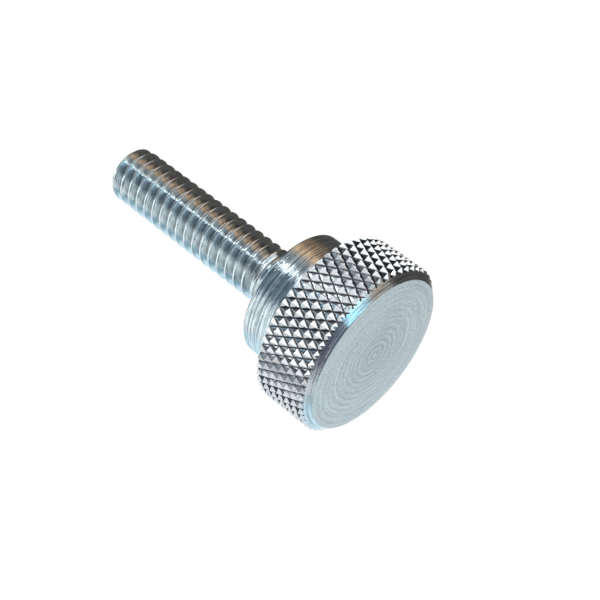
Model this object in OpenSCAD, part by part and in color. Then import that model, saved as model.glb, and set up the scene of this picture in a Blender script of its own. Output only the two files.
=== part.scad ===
// Knurled thumb screw, turned in one piece from round steel bar.
// The origin is on the axis, in the plane of the collar's seat. +Z runs along the thread to its tip.

/* [Head] */
// Diameter over the points of the knurl
head_d = 19.5; // [17:0.1:30]
// Length of the knurled head, with its bevel
head_length = 6.8; // [4:0.1:16]
// Width of the 45 degree bevel round the head's face
face_bevel = 1; // [0.6:0.1:2]
// Edge break at the back of the head
rear_break = 0.2; // [0.1:0.05:0.5]

/* [Knurl] */
// Diamonds in one ring round the head
knurl_count = 55; // [36:1:72]
// Depth of the grooves between the diamonds
knurl_depth = 0.45; // [0.2:0.05:0.55]
// Angle between the grooves and the axis of the screw
knurl_angle = 30; // [25:1:45]
// Where the first point stands, as an angle round the axis
knurl_start = 0.7; // [0:0.1:6]

/* [Collar] */
// Diameter of the plain collar under the head
collar_d = 14.2; // [10:0.1:15.8]
// Length of the collar, from the back of the head to the seat
collar_length = 4.6; // [1:0.1:12]
// Edge break round the seat
seat_break = 0.2; // [0.1:0.05:0.8]

/* [Neck] */
// How far the plain neck lies under the crests of the thread
neck_drop = 0.075; // [0.06:0.005:0.2]
// Length of the plain neck between the seat and the thread
neck_length = 2.5; // [2.2:0.1:8]

/* [Thread] */
// Major diameter, 6.35 for a 1/4 inch screw
thread_d = 6.35; // [5:0.05:8]
// Distance from one crest to the next, 1.27 for 20 threads to the inch
thread_pitch = 1.27; // [0.8:0.01:1.4]
// Length from the seat to the tip
shank_length = 25.4; // [14:0.1:50]
// Depth of the 45 degree bevel at the tip
tip_bevel = 0.65; // [0.3:0.05:1]
// Where the first crest starts, as an angle round the axis
thread_start = 287; // [0:1:359]

/* [Hidden] */
$fn = 96;

head_r = head_d/2;
collar_r = collar_d/2;
crest_r = thread_d/2;
neck_r = crest_r - neck_drop;
// places along the axis
face_z = -collar_length - head_length;
rear_z = -collar_length;
thread_length = shank_length - neck_length;
// spare length past a cut, so that no cut runs through an end
spare = 1;

// Knurl: points and grooves' crossings take turns on a grid, half a diamond apart each way
knurl_columns = 2*knurl_count;
knurl_row = PI*head_d/knurl_columns/tan(knurl_angle);
// row 0 stands just past the bevel's edge
bevel_gap = 0.05;
knurl_first = face_z + face_bevel + bevel_gap;
first_row = -ceil((face_bevel + spare)/knurl_row);
last_row = ceil((head_length - face_bevel + spare)/knurl_row);

// Thread: a 60 degree profile over one pitch, as [place along the pitch, share of the full depth]
sharp_depth = thread_pitch*cos(30);
thread_depth = 17/24*sharp_depth;
crest_flat = 1/8;
root_flat = 1/6;
flank = (1 - crest_flat - root_flat)/2;
profile = [[0, 0], [crest_flat, 0], [crest_flat + flank, 1], [crest_flat + flank + root_flat, 1]];
thread_steps = 30;
// the grooves start from nothing inside the neck's end and reach full depth one pitch on
thread_turns = ceil(thread_length/thread_pitch) + 2;
thread_columns = thread_turns*len(profile);
thread_from = neck_length - thread_pitch/2;
// the thread's own bar ends inside the neck by this much, all round
inside_neck = 0.04;

// True where column a and row b of the knurl's grid meet in the point of a diamond
function is_point(a, b) = (a + b) % 2 == 0;

function knurl_corner(a, b) = let(
    r = is_point(a, b) ? head_r : head_r - knurl_depth,
    turn = knurl_start + 360*a/knurl_columns)
    [r*cos(turn), r*sin(turn), knurl_first + b*knurl_row];

// Bar with diamonds rolled all over it, longer than the head at both ends
module knurled_bar() {
    n = knurl_columns;
    corner = function (a, b) (b - first_row)*n + a % n;
    points = [for (b = [first_row : last_row]) for (a = [0 : n - 1]) knurl_corner(a, b)];
    // each square of the grid is folded along the groove that crosses it
    sides = [for (b = [first_row : last_row - 1]) for (a = [0 : n - 1])
        each is_point(a, b)
            ? [[corner(a, b), corner(a, b + 1), corner(a + 1, b)],
               [corner(a + 1, b), corner(a, b + 1), corner(a + 1, b + 1)]]
            : [[corner(a, b), corner(a, b + 1), corner(a + 1, b + 1)],
               [corner(a, b), corner(a + 1, b + 1), corner(a + 1, b)]]];
    bottom = len(points);
    top = bottom + 1;
    middles = [for (b = [first_row, last_row]) [0, 0, knurl_first + b*knurl_row]];
    ends = [for (a = [0 : n - 1]) each
        [[bottom, corner(a, first_row), corner(a + 1, first_row)],
         [top, corner(a + 1, last_row), corner(a, last_row)]]];
    polyhedron(concat(points, middles), concat(sides, ends), convexity = 6);
}

// Outline that trims the knurled bar: the face, its bevel and the back of the head
module head_blank() {
    r = head_r + spare;
    rotate_extrude() polygon([
        [0, face_z], [head_r - face_bevel, face_z], [r, face_z + face_bevel + spare],
        [r, rear_z - rear_break - spare], [head_r - rear_break, rear_z], [0, rear_z]]);
}

module head() {
    intersection() {
        knurled_bar();
        head_blank();
    }
}

// Collar and neck, turned as one profile that starts inside the head
module collar_and_neck() {
    rotate_extrude() polygon([
        [0, rear_z - head_length/2], [collar_r, rear_z - head_length/2],
        [collar_r, -seat_break], [collar_r - seat_break, 0],
        [neck_r, 0], [neck_r, neck_length], [0, neck_length]]);
}

// Point j of the profile, in step i round the turn whose first column is m
function thread_point(i, m) = let(
    k = floor(m/len(profile)),
    here = profile[m - k*len(profile)],
    turn = 360*i/thread_steps,
    z = thread_from + thread_pitch*(k + here[0] + i/thread_steps),
    grown = max(0, min(1, (z - neck_length)/thread_pitch)),
    bar_r = neck_r - inside_neck + (neck_drop + inside_neck)*grown,
    r = bar_r - thread_depth*here[1]*grown)
    [r*cos(turn), r*sin(turn), z];

// Bar with a right-hand thread, from inside the neck to past the tip
module threaded_bar() {
    n = thread_steps;
    p = len(profile);
    // one step past the last is the first step of the same column, one pitch further on
    corner = function (i, m) i < n ? m*n + i : (m + p)*n + i - n;
    points = [for (m = [0 : thread_columns]) for (i = [0 : n - 1]) thread_point(i, m)];
    start = len(points);
    middles = [[0, 0, thread_from - thread_pitch], [0, 0, thread_from + (thread_turns + 2)*thread_pitch]];
    sides = [for (m = [0 : thread_columns - 1]) for (i = [0 : n - 1])
        if (i < n - 1 || m + p < thread_columns)
            each [[corner(i, m), corner(i, m + 1), corner(i + 1, m + 1)],
                  [corner(i, m), corner(i + 1, m + 1), corner(i + 1, m)]]];
    first_end = concat(
        [for (i = [0 : n - 1]) [start, corner(i, 0), corner(i + 1, 0)]],
        [for (m = [0 : p - 1]) [start, corner(0, m + 1), corner(0, m)]]);
    last = thread_columns;
    last_end = concat(
        [for (i = [0 : n - 2]) [start + 1, corner(i + 1, last), corner(i, last)]],
        [[start + 1, corner(0, last), corner(n - 1, last - p)]],
        [for (m = [last - p : last - 1]) [start + 1, corner(n - 1, m), corner(n - 1, m + 1)]]);
    rotate([0, 0, thread_start])
        polyhedron(concat(points, middles), concat(sides, first_end, last_end), convexity = 10);
}

// Outline that trims the threaded bar to its length and bevels the tip
module shank_blank() {
    r = crest_r + spare;
    rotate_extrude() polygon([
        [0, -collar_length/2], [r, -collar_length/2], [r, shank_length - tip_bevel - spare],
        [crest_r - tip_bevel, shank_length], [0, shank_length]]);
}

module shank() {
    intersection() {
        threaded_bar();
        shank_blank();
    }
}

module thumb_screw() {
    color([0.72, 0.76, 0.78]) {
        head();
        collar_and_neck();
        shank();
    }
}

thumb_screw();
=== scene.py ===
import math
import bpy
import bmesh
from mathutils import Matrix, Vector


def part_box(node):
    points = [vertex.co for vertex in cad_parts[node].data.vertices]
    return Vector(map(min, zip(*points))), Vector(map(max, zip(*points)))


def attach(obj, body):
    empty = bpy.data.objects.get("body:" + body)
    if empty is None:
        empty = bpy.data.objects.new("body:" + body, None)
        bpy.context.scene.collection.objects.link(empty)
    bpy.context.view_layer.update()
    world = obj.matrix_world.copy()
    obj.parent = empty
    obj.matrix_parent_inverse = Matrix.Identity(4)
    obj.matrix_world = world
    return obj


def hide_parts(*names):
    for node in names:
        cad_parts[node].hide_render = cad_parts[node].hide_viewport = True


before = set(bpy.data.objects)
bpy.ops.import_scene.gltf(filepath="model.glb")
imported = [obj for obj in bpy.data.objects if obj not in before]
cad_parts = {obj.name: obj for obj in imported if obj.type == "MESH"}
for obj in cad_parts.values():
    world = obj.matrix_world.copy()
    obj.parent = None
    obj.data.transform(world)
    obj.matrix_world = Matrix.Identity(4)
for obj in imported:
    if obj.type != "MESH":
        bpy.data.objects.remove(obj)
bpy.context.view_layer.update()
mm = 0.001  # shapes are worked out in millimetres and scaled once, at the end
samePoint = 0.001  # points nearer than this many millimetres are merged as they are made
print("frame loaded")

# the frame gives where the screw starts and ends along its axis, the seat is at zero
lowest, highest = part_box("thumb_screw")
faceZ = lowest.z / mm
tipZ = highest.z / mm


def linearColour(hexCode):
    # sRGB hex to linear RGBA
    parts = [int(hexCode[i:i + 2], 16) / 255 for i in (1, 3, 5)]
    return [c / 12.92 if c <= 0.04045 else ((c + 0.055) / 1.055) ** 2.4 for c in parts] + [1]


def addNode(tree, kind, settings=None, inputs=None, links=None):
    # settings are the node's own fields, inputs are constants, links are (input, output socket) pairs
    node = tree.nodes.new(kind)
    for field, value in (settings or {}).items():
        setattr(node, field, value)
    for socket, value in (inputs or {}).items():
        node.inputs[socket].default_value = value
    for socket, source in (links or {}).items():
        tree.links.new(source, node.inputs[socket])
    return node


def newMaterial(name):
    material = bpy.data.materials.new(name)
    material.use_nodes = True
    material.node_tree.nodes.clear()
    return material, material.node_tree


arcChange = 0.035  # how fast a tool mark changes along its arc, against across it
noiseSpread = {"From Min": 0.3, "From Max": 0.7}  # nearly all of a noise lies between these
lineSpread = {"From Min": 0.35, "From Max": 0.6}  # narrower, so that the dark lines have sharp edges
feedFade = {"radius": 6, "share": 0.4}  # the feed rings are down to this share at this radius
wavePeriod = math.pi / 10  # of a wave texture at a scale of 1


def ringCoordinates(tree):
    # millimetres; (distance from the axis, a little of x, height) and a little of y for the fourth way:
    # whatever reads these runs in long arcs round the axis, as a tool leaves them
    place = addNode(tree, "ShaderNodeTexCoord")
    scaled = addNode(tree, "ShaderNodeVectorMath", {"operation": "SCALE"},
                     {"Scale": 1 / mm}, {0: place.outputs["Object"]})
    flat = addNode(tree, "ShaderNodeVectorMath", {"operation": "MULTIPLY"},
                   {1: (1, 1, 0)}, {0: scaled.outputs[0]})
    radius = addNode(tree, "ShaderNodeVectorMath", {"operation": "LENGTH"},
                     links={0: flat.outputs[0]})
    parts = addNode(tree, "ShaderNodeSeparateXYZ", links={0: scaled.outputs[0]})
    little = [addNode(tree, "ShaderNodeMath", {"operation": "MULTIPLY"}, {1: arcChange},
                      {0: parts.outputs[axis]}) for axis in "XY"]
    rings = addNode(tree, "ShaderNodeCombineXYZ", links={
        "X": radius.outputs["Value"], "Y": little[0].outputs[0], "Z": parts.outputs["Z"]})
    return scaled.outputs[0], rings.outputs[0], little[1].outputs[0], radius.outputs["Value"]


def steelMaterial(name, look):
    # metal whose marks run in arcs round the axis, with a faint blotchy tone over them
    material, tree = newMaterial(name)
    place, rings, fourth, radius = ringCoordinates(tree)
    # fine marks and broader bands round the axis, and blotches over everything
    fine = addNode(tree, "ShaderNodeTexNoise", {"noise_dimensions": "4D"}, {
        "Scale": 1 / look["markWidth"], "Detail": 3, "Roughness": 0.6}, {"Vector": rings, "W": fourth})
    broad = addNode(tree, "ShaderNodeTexNoise", {"noise_dimensions": "4D"}, {
        "Scale": 1 / look["bandWidth"], "Detail": 2}, {"Vector": rings, "W": fourth})
    blotch = addNode(tree, "ShaderNodeTexNoise", inputs={
        "Scale": 1 / look["blotchWidth"], "Detail": 6, "Roughness": 0.65}, links={"Vector": place})
    # even rings of a facing cut, clearest near the axis
    feed = addNode(tree, "ShaderNodeTexWave", {"wave_type": "RINGS", "rings_direction": "Z"}, {
        "Scale": wavePeriod / look["feedWidth"], "Distortion": 1.5, "Detail": 2, "Detail Scale": 0.6,
        "Phase Offset": 2}, {"Vector": place})
    feedShare = addNode(tree, "ShaderNodeMapRange", inputs={
        "From Min": 0, "From Max": feedFade["radius"], "To Min": look["feedShare"],
        "To Max": feedFade["share"] * look["feedShare"]}, links={"Value": radius})
    marks = addNode(tree, "ShaderNodeMath", {"operation": "MULTIPLY_ADD"}, {1: look["bandShare"]},
                    {0: broad.outputs["Fac"], 2: fine.outputs["Fac"]})
    height = addNode(tree, "ShaderNodeBump", inputs={
        "Strength": 1, "Distance": look["markDepth"] * mm}, links={"Height": marks.outputs[0]})
    spots = addNode(tree, "ShaderNodeMapRange", inputs=noiseSpread, links={"Value": blotch.outputs["Fac"]})
    tone = addNode(tree, "ShaderNodeMix", {"data_type": "RGBA"}, {
        "A": linearColour(look["dark"]), "B": linearColour(look["light"])}, {"Factor": spots.outputs[0]})
    lines = addNode(tree, "ShaderNodeMapRange", inputs=lineSpread, links={"Value": fine.outputs["Fac"]})
    ringTone = addNode(tree, "ShaderNodeMix", {"data_type": "RGBA", "blend_type": "MULTIPLY"}, {
        "Factor": look["ringTone"]}, {"A": tone.outputs["Result"], "B": lines.outputs[0]})
    feedTone = addNode(tree, "ShaderNodeMix", {"data_type": "RGBA", "blend_type": "MULTIPLY"}, links={
        "Factor": feedShare.outputs[0], "A": ringTone.outputs["Result"], "B": feed.outputs["Fac"]})
    # painted shade in the knurl's valleys and at the thread's root, darker inside the radii of darkTo;
    # the face only darkens a little towards the middle
    darkByRadius = addNode(tree, "ShaderNodeMapRange", {"interpolation_type": "SMOOTHSTEP"}, {
        "From Min": look["darkTo"][0], "From Max": look["darkTo"][1], "To Min": 1 - look["darkShare"],
        "To Max": 1}, {"Value": radius})
    darkenedTone = addNode(tree, "ShaderNodeMix", {"data_type": "RGBA", "blend_type": "MULTIPLY"}, {"Factor": 1}, {
        "A": feedTone.outputs["Result"], "B": darkByRadius.outputs[0]})
    rough = addNode(tree, "ShaderNodeMapRange", inputs={
        **noiseSpread, "To Min": look["roughness"] - look["roughSpread"],
        "To Max": look["roughness"] + look["roughSpread"]}, links={"Value": fine.outputs["Fac"]})
    shader = addNode(tree, "ShaderNodeBsdfPrincipled", inputs={"Metallic": 1}, links={
        "Base Color": darkenedTone.outputs["Result"], "Roughness": rough.outputs[0], "Normal": height.outputs[0]})
    addNode(tree, "ShaderNodeOutputMaterial", links={"Surface": shader.outputs[0]})
    return material


# widths and depths are in millimetres; inside the first radius of darkTo the steel is darkened by darkShare,
# and outside the second it is left as it is
plainLook = {"feedWidth": 1, "feedShare": 0, "darkTo": (0, 1), "darkShare": 0}
steelLooks = {
    # end face cut by a facing tool: matte and pale, with even rings; rings at the tool's real feed, about
    # 0.1 mm, would not show, so they are drawn 0.7 mm apart
    "facedSteel": {"dark": "#aec2c9", "light": "#e2eff4", "roughness": 0.34, "roughSpread": 0.08,
                   "markWidth": 0.16, "markDepth": 0.02, "bandWidth": 0.7, "bandShare": 0.2,
                   "blotchWidth": 0.3, "ringTone": 0.32, "feedWidth": 0.69, "feedShare": 0.25,
                   "darkTo": (0, 9), "darkShare": 0.1},
    # collar, bevels, neck and ends cut by a turning tool: bright, streaked round the axis, with the
    # streaks drawn coarser than the tool's real feed so that they show
    "turnedSteel": {"dark": "#d8e2e6", "light": "#f2f8fa", "roughness": 0.09, "roughSpread": 0.04,
                    "markWidth": 0.17, "markDepth": 0.06, "bandWidth": 0.6, "bandShare": 1.0,
                    "blotchWidth": 1.5, "ringTone": 0.58},
    # knurl pressed by hardened wheels: small faces burnished nearly to a mirror, with painted shade in the
    # valleys
    "knurledSteel": {"dark": "#dde0e2", "light": "#f4f4f5", "roughness": 0.1, "roughSpread": 0.04,
                     "markWidth": 0.2, "markDepth": 0.014, "bandWidth": 1.0, "bandShare": 0.5,
                     "blotchWidth": 0.4, "ringTone": 0.1, "darkTo": (9.3, 9.42), "darkShare": 0.93},
    # thread: smooth flanks with faint marks along the groove, with painted shade at the root
    "threadedSteel": {"dark": "#dce4e6", "light": "#f2f6f7", "roughness": 0.15, "roughSpread": 0.05,
                      "markWidth": 0.1, "markDepth": 0.016, "bandWidth": 0.4, "bandShare": 1,
                      "blotchWidth": 0.8, "ringTone": 0.2, "darkTo": (2.38, 3.0), "darkShare": 0.3},
}
finishes = list(steelLooks)
steels = [steelMaterial(name, {**plainLook, **look}) for name, look in steelLooks.items()]
print("materials made")


def roundedOutline(corners, arcSteps=3):
    # corners are (radius, height, rounding); each rounding becomes a short arc
    points = []
    for i, (r, z, rounding) in enumerate(corners):
        here = Vector((r, z))
        if not rounding:
            points.append(here)
            continue
        before = (Vector(corners[i - 1][:2]) - here).normalized()
        after = (Vector(corners[i + 1][:2]) - here).normalized()
        half = before.angle(after) / 2
        centre = here + (before + after).normalized() * rounding / math.sin(half)
        start = here + before * rounding / math.tan(half) - centre
        end = here + after * rounding / math.tan(half) - centre
        sweep = math.atan2(start.cross(end), start.dot(end))
        for k in range(arcSteps + 1):
            points.append(centre + Matrix.Rotation(sweep * k / arcSteps, 2) @ start)
    return points


def chainOf(bm, outline):
    # wire along the outline in the XZ plane
    verts = [bm.verts.new((p.x, 0, p.y)) for p in outline]
    edges = [bm.edges.new(pair) for pair in zip(verts, verts[1:])]
    return verts + edges


def turnedShape(outline, steps):
    # closed solid of revolution
    bm = bmesh.new()
    bmesh.ops.spin(bm, geom=chainOf(bm, outline), cent=(0, 0, 0), axis=(0, 0, 1), dvec=(0, 0, 0),
                   angle=2 * math.pi, steps=steps, use_merge=True, use_duplicate=False)
    bmesh.ops.remove_doubles(bm, verts=bm.verts, dist=samePoint)
    bmesh.ops.recalc_face_normals(bm, faces=bm.faces)
    return bm


def closeEnds(bm):
    # caps over the open edges
    bmesh.ops.edgeloop_fill(bm, edges=[e for e in bm.edges if e.is_boundary])
    bmesh.ops.recalc_face_normals(bm, faces=bm.faces)


def finishAll(bm, finish):
    for face in bm.faces:
        face.material_index = finishes.index(finish)


def meshObject(name, bm, materials):
    mesh = bpy.data.meshes.new(name)
    bm.to_mesh(mesh)
    bm.free()
    for material in materials:
        mesh.materials.append(material)
    piece = bpy.data.objects.new(name, mesh)
    bpy.context.scene.collection.objects.link(piece)
    return piece


def applyModifiers(piece):
    graph = bpy.context.evaluated_depsgraph_get()
    result = bpy.data.meshes.new_from_object(piece.evaluated_get(graph))
    piece.modifiers.clear()
    piece.data = result


def combine(piece, other, operation):
    # boolean of two closed pieces, each face keeps its own finish
    cut = piece.modifiers.new("combine", "BOOLEAN")
    cut.operation = operation
    cut.solver = "MANIFOLD"
    cut.object = other
    applyModifiers(piece)
    bpy.data.objects.remove(other)
    return piece


# millimetres and degrees; spare is how far a bar or a blank runs past what is left of it
head = {"radius": 9.75, "length": 6.8, "faceBevel": 1.0, "rearBreak": 0.2, "edgeRounding": 0.05,
        "diamonds": 55, "grooveDepth": 0.45, "grooveAngle": 30, "firstPoint": 0.7, "bevelGap": 0.05,
        "ridgeWidth": 0.045, "spare": 1, "steps": 256}


def knurledBar():
    # rings of points and groove crossings take turns, half a diamond apart each way
    columns = 2 * head["diamonds"]
    turn = 2 * math.pi / columns
    rowHeight = head["radius"] * turn / math.tan(math.radians(head["grooveAngle"]))
    firstZ = faceZ + head["faceBevel"] + head["bevelGap"]
    firstRow = -math.ceil((head["faceBevel"] + head["spare"]) / rowHeight)
    lastRow = math.ceil((head["length"] - head["faceBevel"] + head["spare"]) / rowHeight)
    start = math.radians(head["firstPoint"])

    bm = bmesh.new()
    bmesh.ops.create_circle(bm, cap_ends=False, segments=columns, radius=head["radius"])
    bmesh.ops.translate(bm, verts=bm.verts, vec=(0, 0, firstZ + firstRow * rowHeight))
    bm.verts.ensure_lookup_table()
    offset = math.atan2(bm.verts[0].co.y, bm.verts[0].co.x)
    bmesh.ops.rotate(bm, verts=bm.verts, cent=(0, 0, 0), matrix=Matrix.Rotation(start - offset, 3, "Z"))
    ring = list(bm.edges)
    for row in range(firstRow, lastRow):
        made = bmesh.ops.extrude_edge_only(bm, edges=ring)["geom"]
        ring = [g for g in made if isinstance(g, bmesh.types.BMEdge)]
        bmesh.ops.translate(bm, verts=[g for g in made if isinstance(g, bmesh.types.BMVert)],
                            vec=(0, 0, rowHeight))

    def isCrossing(vert):
        column = round((math.atan2(vert.co.y, vert.co.x) - start) / turn)
        row = round((vert.co.z - firstZ) / rowHeight)
        return (column + row) % 2 == 1

    share = 1 - head["grooveDepth"] / head["radius"]
    bmesh.ops.scale(bm, vec=(share, share, 1), verts=[v for v in bm.verts if isCrossing(v)])
    # the shorter diagonal of each square joins its two crossings, along the groove
    bmesh.ops.triangulate(bm, faces=bm.faces, quad_method="SHORT_EDGE")
    folds = [e for e in bm.edges if not e.is_boundary]
    bmesh.ops.bevel(bm, geom=folds, offset=head["ridgeWidth"], offset_type="OFFSET", segments=2,
                    profile=0.5, affect="EDGES", clamp_overlap=True, material=-1)
    closeEnds(bm)
    finishAll(bm, "knurledSteel")
    return bm


def headBlank():
    # face, its bevel and the back of the head
    wide = head["radius"] + head["spare"]
    rearZ = faceZ + head["length"]
    bm = turnedShape(roundedOutline([
        (0, faceZ, 0),
        (head["radius"] - head["faceBevel"], faceZ, head["edgeRounding"]),
        (wide, faceZ + head["faceBevel"] + head["spare"], 0),
        (wide, rearZ - head["rearBreak"] - head["spare"], 0),
        (head["radius"] - head["rearBreak"], rearZ, head["edgeRounding"]),
        (0, rearZ, 0)]), head["steps"])
    finishAll(bm, "turnedSteel")
    # the flat face under the bevel points straight down
    for face in bm.faces:
        if face.normal.z < -0.99:
            face.material_index = finishes.index("facedSteel")
    return bm


screw = combine(meshObject("thumbScrew", knurledBar(), steels),
                meshObject("blank", headBlank(), steels), "INTERSECT")
print("head made", len(screw.data.polygons))

# intoHead is how deep its bar is sunk in the head
collar = {"radius": 7.1, "seatBreak": 0.2, "rounding": 0.08, "neckRadius": 3.1, "neckLength": 2.5,
          "intoHead": 3.4, "fillet": 0.1, "steps": 256}


def collarAndNeck():
    rearZ = faceZ + head["length"]
    bm = turnedShape(roundedOutline([
        (0, rearZ - collar["intoHead"], 0),
        (collar["radius"], rearZ - collar["intoHead"], 0),
        (collar["radius"], -collar["seatBreak"], collar["rounding"]),
        (collar["radius"] - collar["seatBreak"], 0, collar["rounding"]),
        (collar["neckRadius"], 0, collar["fillet"]),
        (collar["neckRadius"], collar["neckLength"], 0),
        (0, collar["neckLength"], 0)]), collar["steps"])
    finishAll(bm, "turnedSteel")
    return bm


combine(screw, meshObject("collar", collarAndNeck(), steels), "UNION")
print("collar made", len(screw.data.polygons))

# crestAtX is the height of a crest on the X side, insideNeck keeps the bar's start under the neck's surface
thread = {"crestRadius": 3.175, "pitch": 1.27, "angle": 60, "crestCut": 1 / 8, "rootCut": 1 / 6,
          "crestAtX": 0.93, "crestRounding": 0.05, "rootRounding": 0.08, "tipBevel": 0.65,
          "tipRounding": 0.05, "insideNeck": 0.04, "spare": 1, "steps": 120}


def threadedBar():
    # a sharp triangle with its crest and its root cut off, turned up the axis as a helix
    pitch = thread["pitch"]
    crest = thread["crestRadius"]
    sharpHeight = pitch / 2 / math.tan(math.radians(thread["angle"] / 2))
    root = crest - (1 - thread["crestCut"] - thread["rootCut"]) * sharpHeight
    crestFlat, rootFlat = pitch * thread["crestCut"], pitch * thread["rootCut"]
    flank = (pitch - crestFlat - rootFlat) / 2
    neckEnd = collar["neckLength"]
    startZ = neckEnd - pitch / 2
    # with turns to spare at both ends, trimmed off below
    firstTurn = math.floor((startZ - thread["crestAtX"]) / pitch) - 2
    lastTurn = math.ceil((tipZ - thread["crestAtX"]) / pitch) + 1
    corners = []
    for k in range(firstTurn, lastTurn + 1):
        z = thread["crestAtX"] - crestFlat / 2 + k * pitch
        corners += [(crest, z, thread["crestRounding"]),
                    (crest, z + crestFlat, thread["crestRounding"]),
                    (root, z + crestFlat + flank, thread["rootRounding"]),
                    (root, z + crestFlat + flank + rootFlat, thread["rootRounding"])]
    # the first and last corners stay square
    corners[0] = (*corners[0][:2], 0)
    corners[-1] = (*corners[-1][:2], 0)

    bm = bmesh.new()
    bmesh.ops.spin(bm, geom=chainOf(bm, roundedOutline(corners, arcSteps=2)), cent=(0, 0, 0), axis=(0, 0, 1),
                   dvec=(0, 0, pitch / thread["steps"]), angle=2 * math.pi, steps=thread["steps"],
                   use_merge=False, use_duplicate=False)
    # the helix's last step lies on its first, one pitch further on
    bmesh.ops.remove_doubles(bm, verts=bm.verts, dist=samePoint)
    # the grooves start from nothing at the neck and are full one pitch on
    barRadius = collar["neckRadius"] - thread["insideNeck"]
    for vert in bm.verts:
        grown = min(1, max(0, (vert.co.z - neckEnd) / pitch))
        r = math.hypot(vert.co.x, vert.co.y)
        wanted = barRadius + (r - barRadius) * grown
        vert.co.x *= wanted / r
        vert.co.y *= wanted / r
    for height, clearInner in ((startZ, True), (tipZ + thread["spare"] / 2, False)):
        bmesh.ops.bisect_plane(bm, geom=[*bm.verts, *bm.edges, *bm.faces], plane_co=(0, 0, height),
                               plane_no=(0, 0, 1), clear_inner=clearInner, clear_outer=not clearInner)
    closeEnds(bm)
    finishAll(bm, "threadedSteel")
    # the run-out is streaked like the neck
    for face in bm.faces:
        if face.calc_center_median().z < neckEnd + pitch:
            face.material_index = finishes.index("turnedSteel")
    return bm


def tipBlank():
    wide = thread["crestRadius"] + thread["spare"]
    bm = turnedShape(roundedOutline([
        (0, -thread["spare"], 0),
        (wide, -thread["spare"], 0),
        (wide, tipZ - thread["tipBevel"] - thread["spare"], 0),
        (thread["crestRadius"] - thread["tipBevel"], tipZ, thread["tipRounding"]),
        (0, tipZ, 0)]), thread["steps"])
    finishAll(bm, "turnedSteel")
    return bm


shank = combine(meshObject("shank", threadedBar(), steels),
                meshObject("tip", tipBlank(), steels), "INTERSECT")
print("thread made", len(shank.data.polygons))
combine(screw, shank, "UNION")

seamGap = 0.002  # millimetres


def mendSeams(piece):
    # the booleans leave points a hair apart along their seams, and needless points in the middle of edges
    bm = bmesh.new()
    bm.from_mesh(piece.data)
    bmesh.ops.remove_doubles(bm, verts=bm.verts, dist=seamGap)
    bmesh.ops.dissolve_degenerate(bm, dist=seamGap, edges=bm.edges)
    needless = [v for v in bm.verts if len(v.link_edges) == 2]
    bmesh.ops.dissolve_verts(bm, verts=needless)
    bmesh.ops.triangulate(bm, faces=[f for f in bm.faces if len(f.verts) > 4], quad_method="BEAUTY",
                          ngon_method="BEAUTY")
    bmesh.ops.dissolve_degenerate(bm, dist=seamGap, edges=bm.edges)
    openEdges = sum(len(e.link_faces) != 2 for e in bm.edges)
    bm.to_mesh(piece.data)
    bm.free()
    print("seams mended,", len(needless), "needless points out,", openEdges, "edges open")


mendSeams(screw)

# large faces keep their own direction and the narrow roundings blend; done in millimetres, because the
# modifier gives up on faces as small as these are in metres
shading = {"sharpAngle": 38, "faceWeight": 90}
screw.data.shade_smooth()
screw.data.set_sharp_from_angle(angle=math.radians(shading["sharpAngle"]))
evenNormals = screw.modifiers.new("evenNormals", "WEIGHTED_NORMAL")
evenNormals.keep_sharp = True
evenNormals.weight = shading["faceWeight"]
applyModifiers(screw)
screw.data.transform(Matrix.Scale(mm, 4))
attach(screw, "root")
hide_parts("thumb_screw")
print("screw made", len(screw.data.polygons), "faces")

# sizes of the studio are in metres
studio = {"cardDistance": 0.5, "cardStep": 0.01, "cardColumns": 60, "cardRows": 30, "floorGap": 0.00003,
          "floorRadius": 0.16, "floorSides": 64, "floorFade": 0.06, "floorColour": "#f4f4f4",
          "fillStrength": 0.75}

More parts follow.
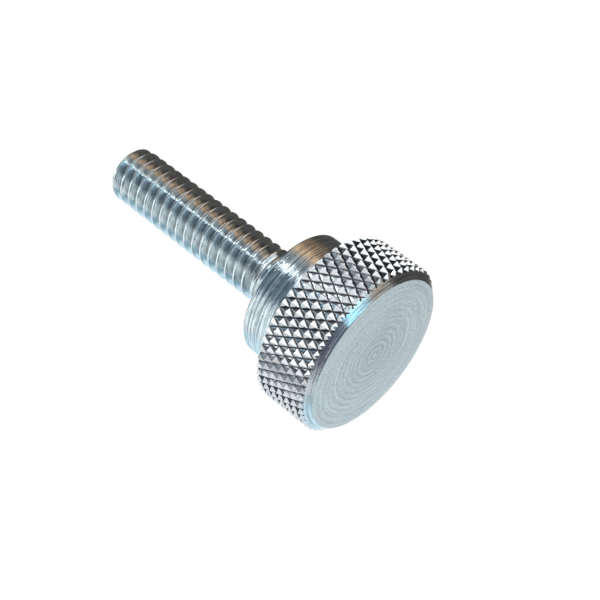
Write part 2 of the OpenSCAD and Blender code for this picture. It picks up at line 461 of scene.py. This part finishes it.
# curved cards round the screw, in degrees round from the front and degrees up; soft is the width of the
# faded rims in degrees, and a later card stands in front of an earlier one
studioCards = [
    {"name": "greyWall", "round": (-108, -20), "up": (-40, 20), "colour": "#e0e7eb", "strength": 1.15,
     "soft": (36, 12)},
    {"name": "blueWall", "round": (-172, -100), "up": (-74, 46), "colour": "#cce4f0", "strength": 1.25,
     "soft": (16, 10)},
    {"name": "lowBlue", "round": (-152, -106), "up": (-78, -27), "colour": "#8fb0be", "strength": 1,
     "soft": (14, 8)},
    {"name": "paleBand", "round": (-112, -30), "up": (18, 42), "colour": "#e2f1f6", "strength": 1.75,
     "soft": (26, 8)},
    {"name": "lowShade", "round": (-116, -40), "up": (-4, 20), "colour": "#b2c4cc", "strength": 1,
     "soft": (16, 8)},
    {"name": "lowCloth", "round": (-58, -22), "up": (0, 25), "colour": "#525f69", "strength": 1,
     "soft": (16, 6)},
    {"name": "frontShade", "round": (-26, 2), "up": (-34, 8), "colour": "#c8ced3", "strength": 1,
     "soft": (8, 6)},
    {"name": "frontCloth", "round": (-44, 20), "up": (-4, 50), "colour": "#556270", "strength": 1,
     "soft": (16, 6)},
    {"name": "tableCloth", "round": (-180, 180), "up": (-90, -62), "colour": "#465a70", "strength": 1,
     "soft": (0, 8)},
    {"name": "frontTable", "round": (-102, 26), "up": (-74, -36), "colour": "#676a7c", "strength": 1,
     "soft": (16, 10)},
    {"name": "rightRoom", "round": (84, 174), "up": (-74, 50), "colour": "#565452", "strength": 1,
     "soft": (14, 8)},
    {"name": "softLight", "round": (2, 92), "up": (-38, 4), "colour": "#f4fbff", "strength": 1.45,
     "soft": (10, 6)},
    {"name": "warmTable", "round": (54, 106), "up": (-80, -30), "colour": "#b8a595", "strength": 1,
     "soft": (14, 10)},
    {"name": "coolLight", "round": (8, 68), "up": (-74, -34), "colour": "#b0e8fb", "strength": 2.1,
     "soft": (16, 8)},
    {"name": "blueBoard", "round": (2, 32), "up": (12, 36), "colour": "#6490aa", "strength": 1,
     "soft": (10, 6)},
    {"name": "greyBoard", "round": (24, 62), "up": (8, 36), "colour": "#aebcc6", "strength": 1,
     "soft": (6, 6)},
    {"name": "shelf", "round": (-20, 42), "up": (0, 18), "colour": "#7c8084", "strength": 1,
     "soft": (8, 5)},
    {"name": "brownDoor", "round": (52, 110), "up": (4, 46), "colour": "#826e5a", "strength": 1,
     "soft": (12, 8)},
    {"name": "warmBoard", "round": (58, 78), "up": (18, 38), "colour": "#f2c89a", "strength": 1.75,
     "soft": (8, 7)},
    {"name": "warmLedge", "round": (54, 96), "up": (0, 20), "colour": "#d8b090", "strength": 1.15,
     "soft": (8, 6)},
    {"name": "lintel", "round": (2, 60), "up": (27, 45), "colour": "#3c4046", "strength": 1,
     "soft": (6, 4)},
    {"name": "ceiling", "round": (-180, 180), "up": (41, 90), "colour": "#2c2b30", "strength": 1,
     "soft": (0, 6)},
    {"name": "blueCeiling", "round": (-150, -46), "up": (45, 72), "colour": "#424c56", "strength": 1,
     "soft": (12, 6)},
    {"name": "paleCeiling", "round": (-58, 4), "up": (44, 76), "colour": "#84929c", "strength": 1,
     "soft": (12, 6)},
    {"name": "skylight", "round": (-180, 180), "up": (66, 90), "colour": "#c4ccd2", "strength": 2.2,
     "soft": (0, 6)},
    {"name": "benchLight", "round": (-52, 18), "up": (31, 40), "colour": "#a9cfe2", "strength": 1.2,
     "soft": (14, 4)},
    {"name": "sideLight", "round": (-60, -24), "up": (36, 58), "colour": "#e8eef2", "strength": 2.4,
     "soft": (10, 6)},
    {"name": "stripLight", "round": (23.6, 28.8), "up": (2, 34), "colour": "#f2fbff", "strength": 9.5,
     "soft": (2, 4)},
]


def directionOf(aroundDegrees, upDegrees):
    a, u = math.radians(aroundDegrees), math.radians(upDegrees)
    return Vector((math.sin(a) * math.cos(u), -math.cos(a) * math.cos(u), math.sin(u)))


def cardMaterial(card):
    # glows evenly and fades out at the rims, where the card's map runs from 0 to 1
    material, tree = newMaterial(card["name"])
    place = addNode(tree, "ShaderNodeTexCoord")
    parts = addNode(tree, "ShaderNodeSeparateXYZ", links={0: place.outputs["UV"]})
    across, along = (addNode(tree, "ShaderNodeMapRange", {"interpolation_type": "SMOOTHSTEP"},
                             links={"Value": parts.outputs[axis]}) for axis in "XY")
    shown = addNode(tree, "ShaderNodeMath", {"operation": "MULTIPLY"},
                    links={0: across.outputs[0], 1: along.outputs[0]})
    glow = addNode(tree, "ShaderNodeEmission", inputs={
        "Color": linearColour(card["colour"]), "Strength": card["strength"]})
    clear = addNode(tree, "ShaderNodeBsdfTransparent")
    mixed = addNode(tree, "ShaderNodeMixShader", links={
        0: shown.outputs[0], 1: clear.outputs[0], 2: glow.outputs[0]})
    addNode(tree, "ShaderNodeOutputMaterial", links={"Surface": mixed.outputs[0]})
    return material


def rimDistance(angle, ends, soft, closedAt):
    # how far inside the card, in widths of its faded rim; an end at a pole or a full turn has no rim
    low, high = ends
    distances = [d for d, end in ((angle - low, low), (high - angle, high)) if abs(end) != closedAt]
    return min(distances) / soft if soft and distances else 1


def studioCard(card, distance):
    # seen only in reflections, so it dims no other light and hides nothing
    (left, right), (low, high) = card["round"], card["up"]

    def anglesOf(vert):
        return left + (right - left) * (vert.co.x + 0.5), low + (high - low) * (vert.co.y + 0.5)

    bm = bmesh.new()
    bmesh.ops.create_grid(bm, x_segments=studio["cardColumns"], y_segments=studio["cardRows"], size=0.5)
    rims = bm.loops.layers.uv.new("rims")
    for face in bm.faces:
        for loop in face.loops:
            around, up = anglesOf(loop.vert)
            loop[rims].uv = (rimDistance(around, card["round"], card["soft"][0], 180),
                             rimDistance(up, card["up"], card["soft"][1], 90))
    for vert in bm.verts:
        vert.co = distance * directionOf(*anglesOf(vert))
    board = meshObject(card["name"], bm, [cardMaterial(card)])
    board.visible_camera = board.visible_diffuse = board.visible_shadow = False
    board.visible_transmission = board.visible_volume_scatter = False


for order, card in enumerate(studioCards):
    studioCard(card, studio["cardDistance"] - order * studio["cardStep"])


def floorMaterial():
    # pale card that only the camera sees, from above, and that fades out with distance
    material, tree = newMaterial("paleFloor")
    place = addNode(tree, "ShaderNodeTexCoord")
    away = addNode(tree, "ShaderNodeVectorMath", {"operation": "LENGTH"}, links={0: place.outputs["Object"]})
    near = addNode(tree, "ShaderNodeMapRange", {"interpolation_type": "SMOOTHSTEP"}, {
        "From Min": studio["floorRadius"] - studio["floorFade"], "From Max": studio["floorRadius"],
        "To Min": 1, "To Max": 0}, {"Value": away.outputs["Value"]})
    path = addNode(tree, "ShaderNodeLightPath")
    side = addNode(tree, "ShaderNodeNewGeometry")
    front = addNode(tree, "ShaderNodeMath", {"operation": "SUBTRACT"}, {0: 1},
                    {1: side.outputs["Backfacing"]})
    seen = addNode(tree, "ShaderNodeMath", {"operation": "MULTIPLY"}, links={
        0: path.outputs["Is Camera Ray"], 1: front.outputs[0]})
    shown = addNode(tree, "ShaderNodeMath", {"operation": "MULTIPLY"}, links={
        0: seen.outputs[0], 1: near.outputs[0]})
    clear = addNode(tree, "ShaderNodeBsdfTransparent")
    paint = addNode(tree, "ShaderNodeBsdfDiffuse", inputs={"Color": linearColour(studio["floorColour"])})
    mixed = addNode(tree, "ShaderNodeMixShader", links={
        0: shown.outputs[0], 1: clear.outputs[0], 2: paint.outputs[0]})
    addNode(tree, "ShaderNodeOutputMaterial", links={"Surface": mixed.outputs[0]})
    return material


def makeFloor():
    bm = bmesh.new()
    bmesh.ops.create_circle(bm, cap_ends=True, segments=studio["floorSides"], radius=studio["floorRadius"])
    floor = meshObject("floor", bm, [floorMaterial()])
    floor.location.z = faceZ * mm - studio["floorGap"]


makeFloor()


def makeWorld():
    # white to the eye and in reflections, a softer fill for everything else
    world = bpy.data.worlds.new("studio")
    bpy.context.scene.world = world
    world.use_nodes = True
    tree = world.node_tree
    tree.nodes.clear()
    path = addNode(tree, "ShaderNodeLightPath")
    eyeOrGloss = addNode(tree, "ShaderNodeMath", {"operation": "MAXIMUM"}, links={
        0: path.outputs["Is Camera Ray"], 1: path.outputs["Is Glossy Ray"]})
    seen = addNode(tree, "ShaderNodeMath", {"operation": "MAXIMUM"}, links={
        0: eyeOrGloss.outputs[0], 1: path.outputs["Is Transmission Ray"]})
    strength = addNode(tree, "ShaderNodeMapRange", inputs={
        "To Min": studio["fillStrength"], "To Max": 1}, links={"Value": seen.outputs[0]})
    sky = addNode(tree, "ShaderNodeBackground", inputs={"Color": (1, 1, 1, 1)},
                  links={"Strength": strength.outputs[0]})
    addNode(tree, "ShaderNodeOutputWorld", links={"Surface": sky.outputs[0]})


makeWorld()

# degrees, metres and watts
keyLamp = {"round": 40, "up": 55, "distance": 0.4, "size": 0.15, "power": 1.2}


def makeLamp():
    data = bpy.data.lights.new("keyLamp", "AREA")
    data.shape = "DISK"
    data.size = keyLamp["size"]
    data.energy = keyLamp["power"]
    lamp = bpy.data.objects.new("keyLamp", data)
    bpy.context.scene.collection.objects.link(lamp)
    towards = directionOf(keyLamp["round"], keyLamp["up"])
    lamp.location = towards * keyLamp["distance"]
    lamp.visible_glossy = False  # it lights the floor, and the cards make the metal's reflections
    lamp.rotation_mode = "QUATERNION"
    lamp.rotation_quaternion = (-towards).to_track_quat("-Z", "Y")


makeLamp()
print("studio made")

# metres, degrees and millimetres of lens; it looks up at the head's face from below, rolled so that the
# screw lies slantwise
camera = {"place": (-0.00007, -0.12, -0.06259), "up": 27.11, "roll": -52.9775, "lens": 79.4}


def makeCamera():
    data = bpy.data.cameras.new("camera")
    data.sensor_width = 36
    data.lens = camera["lens"]
    data.clip_start = 0.005
    eye = bpy.data.objects.new("camera", data)
    bpy.context.scene.collection.objects.link(eye)
    eye.rotation_mode = "ZXY"  # roll first, then tilt
    eye.rotation_euler = (math.radians(90 + camera["up"]), 0, math.radians(camera["roll"]))
    eye.location = camera["place"]
    bpy.context.scene.camera = eye


makeCamera()
bpy.context.scene.view_settings.view_transform = "Standard"
print("camera set")
